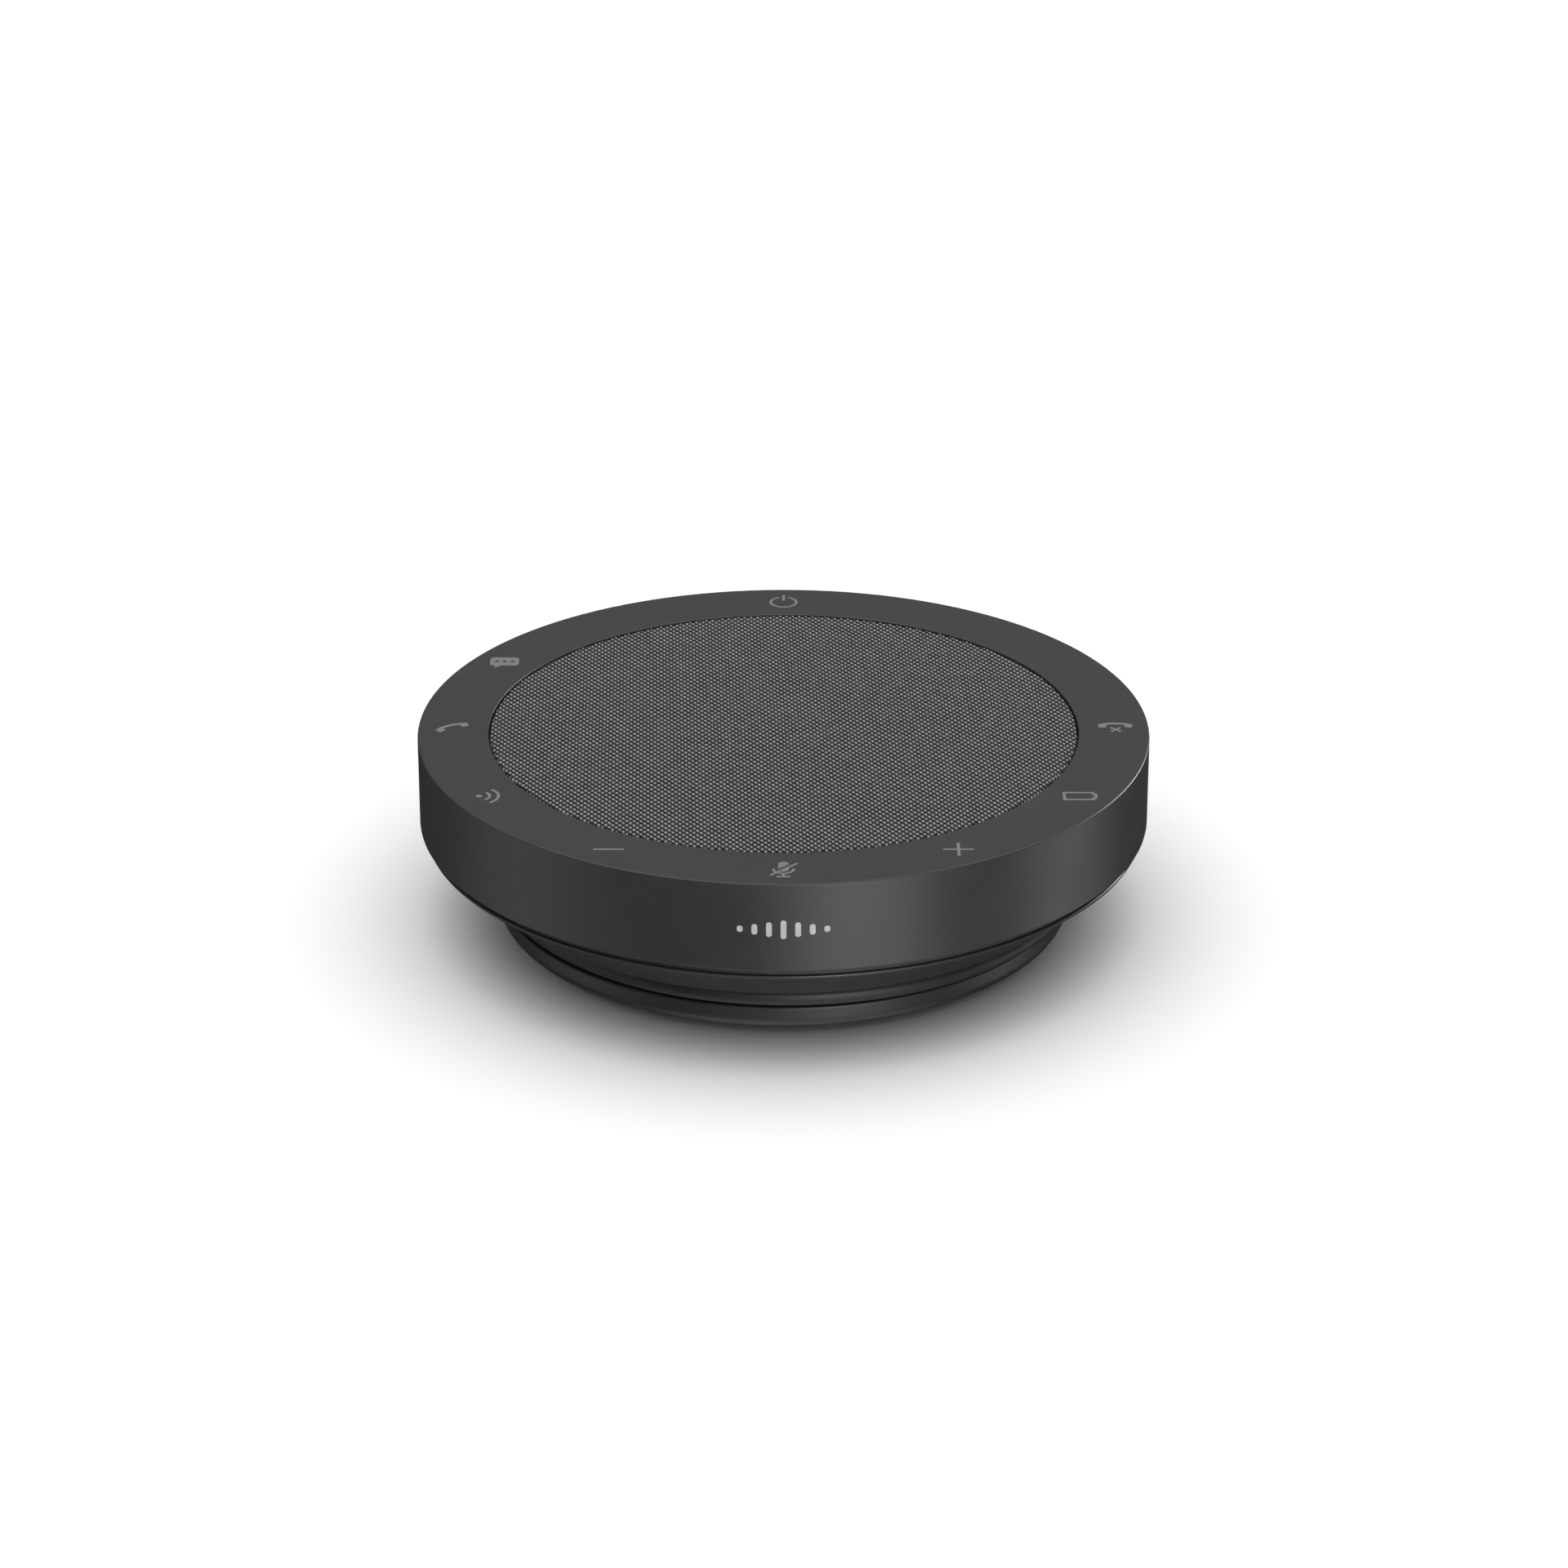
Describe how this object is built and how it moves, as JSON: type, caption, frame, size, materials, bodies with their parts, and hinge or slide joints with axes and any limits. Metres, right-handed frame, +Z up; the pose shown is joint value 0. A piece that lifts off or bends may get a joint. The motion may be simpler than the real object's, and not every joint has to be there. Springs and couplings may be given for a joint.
{
  "type": "conference speakerphone",
  "caption": "Round desktop conference speakerphone with a fabric grille, a ring of touch icons, an undercut foot and a USB-C lead wound in a groove round the foot.",
  "frame": {"origin": "centre of the rubber foot's underside, on the table", "axes": "+Z up through the top face; -Y towards the front, where the mute icon is; +X to the right seen from the front"},
  "size_m": [0.12, 0.12, 0.0331],
  "materials": {
    "casing_plastic": "fine-textured dark grey moulded plastic",
    "icon_inlay": "pale grey translucent inlay, flush with the top face",
    "badge_print": "pale silver inlay",
    "woven_fabric": "plain weave of two-tone grey threads",
    "plated_steel": "zinc-plated",
    "light_guide": "frosted clear acrylic",
    "led_resin": "clear resin over pale phosphor",
    "circuit_board": "green solder mask",
    "chip_resin": "black moulded resin",
    "shield_can": "tinned steel",
    "soft_rubber": "matt black",
    "inner_plastic": "black moulded plastic",
    "basket_plastic": "glass-filled black plastic",
    "magnet_nickel": "nickel-plated neodymium",
    "spider_cloth": "resin-stiffened cloth",
    "cone_paper": "black pressed paper",
    "former_film": "amber polyimide film",
    "copper_wire": "enamelled copper",
    "wire_insulation": "coloured PVC",
    "connector_nylon": "natural nylon",
    "ribbon_film": "amber film",
    "battery_wrap": "blue shrink film",
    "foam": "open-cell foam",
    "foot_rubber": "matt black, ribbed",
    "lead_jacket": "matt dark grey jacket",
    "plug_metal": "bright nickel-plated"
  },
  "bodies": {
    "housing": {"upper_housing": "casing_plastic", "icon_power": "icon_inlay", "icon_meeting": "icon_inlay", "icon_answer": "icon_inlay", "icon_wireless": "icon_inlay", "icon_volume_down": "icon_inlay", "icon_mute": "icon_inlay", "icon_volume_up": "icon_inlay", "icon_battery": "icon_inlay", "icon_end_call": "icon_inlay", "front_badge": "badge_print", "grille_fabric": "woven_fabric", "grille_plate": "plated_steel", "light_guide": "light_guide", "status_leds": "led_resin", "touch_board": "circuit_board", "touch_controller": "chip_resin", "microphones": "shield_can", "mic_boots": "soft_rubber", "chassis": "inner_plastic", "chassis_screws": "plated_steel", "driver_gasket": "soft_rubber", "driver_frame": "basket_plastic", "driver_yoke": "plated_steel", "driver_magnet": "magnet_nickel", "pole_piece": "plated_steel", "driver_terminals": "chip_resin", "spider": "spider_cloth", "surround": "soft_rubber", "driver_screws": "plated_steel", "speaker_wires": "wire_insulation", "speaker_chamber": "inner_plastic", "chamber_screws": "plated_steel", "main_board": "circuit_board", "main_processor": "chip_resin", "wireless_module": "shield_can", "audio_amplifier": "chip_resin", "power_parts": "chip_resin", "board_connectors": "connector_nylon", "ribbon_cable": "ribbon_film", "battery_pack": "battery_wrap", "battery_foam": "foam", "battery_leads": "wire_insulation", "lower_shell": "casing_plastic", "seam_seal": "soft_rubber", "housing_screws": "plated_steel", "cable_spool": "casing_plastic", "base_plate": "casing_plastic", "base_screws": "plated_steel", "foot_pad": "foot_rubber", "strain_relief": "soft_rubber", "usb_lead": "lead_jacket", "lead_harness": "wire_insulation", "plug_body": "lead_jacket", "plug_shell": "plug_metal", "plug_dock": "inner_plastic"},
    "cone_assembly": {"cone": "cone_paper", "dust_cap": "cone_paper", "coil_former": "former_film", "voice_coil": "copper_wire"}
  },
  "joints": [
    {"name": "cone_travel", "type": "slide", "parent": "housing", "child": "cone_assembly", "axis": [0, 0, 1], "range_m": [-0.0012, 0.0012], "stiffness_N_per_m": 1000, "deforming": ["surround", "spider"]}
  ]
}
